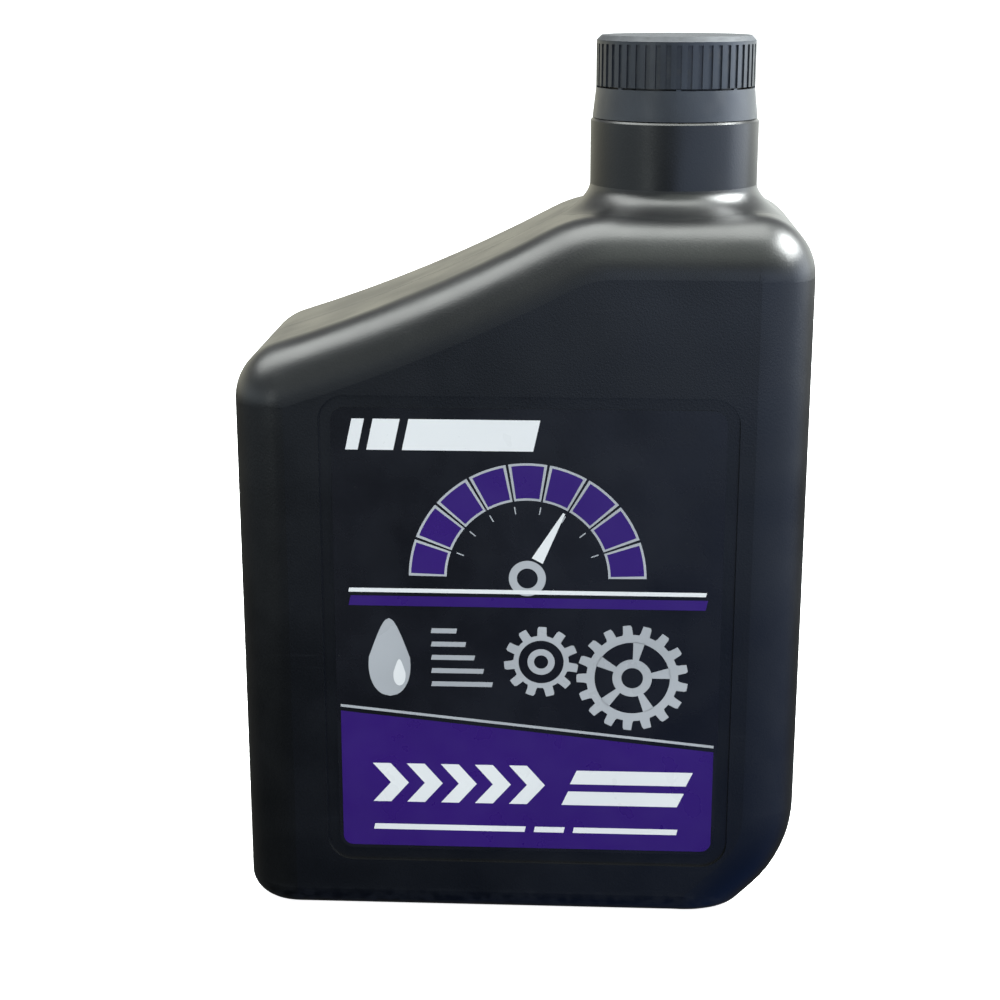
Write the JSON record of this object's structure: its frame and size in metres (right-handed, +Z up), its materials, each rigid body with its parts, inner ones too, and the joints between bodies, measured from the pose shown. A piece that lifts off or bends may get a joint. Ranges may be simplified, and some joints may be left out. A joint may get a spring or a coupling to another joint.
{
  "type": "motor oil bottle",
  "caption": "Hollow flat-sided plastic bottle with a sloping shoulder, offset neck, ribbed screw cap, tamper band and front label, for pouring oil.",
  "frame": {"origin": "middle of the overall box at the base, on the surface the bottle stands on", "axes": "+Z up, +X towards the neck's side, -Y out of the labelled front"},
  "size_m": [0.121, 0.064, 0.1877],
  "materials": {
    "bottle_plastic": "satin",
    "cap_plastic": "satin",
    "liner_foam": "matt foam",
    "label_film": "printed film"
  },
  "bodies": {
    "bottle": {"bottle": "bottle_plastic", "front_label": "label_film", "tamper_band": "cap_plastic"},
    "cap_liner": {"cap_liner": "liner_foam"},
    "cap": {"cap": "cap_plastic"}
  },
  "joints": [
    {"name": "cap_rise", "type": "slide", "parent": "bottle", "child": "cap_liner", "axis": [0, 0, 1], "range_m": [0, 0.00847]},
    {"name": "cap_turn", "type": "hinge", "parent": "cap_liner", "child": "cap", "pos_m": [0.0317, 0, 0.1774], "axis": [0, 0, 1], "range_deg": [0, 720]}
  ],
  "couplings": [
    {"joint": "cap_rise", "follows": "cap_turn", "m_per_rad": 0.00067375}
  ]
}
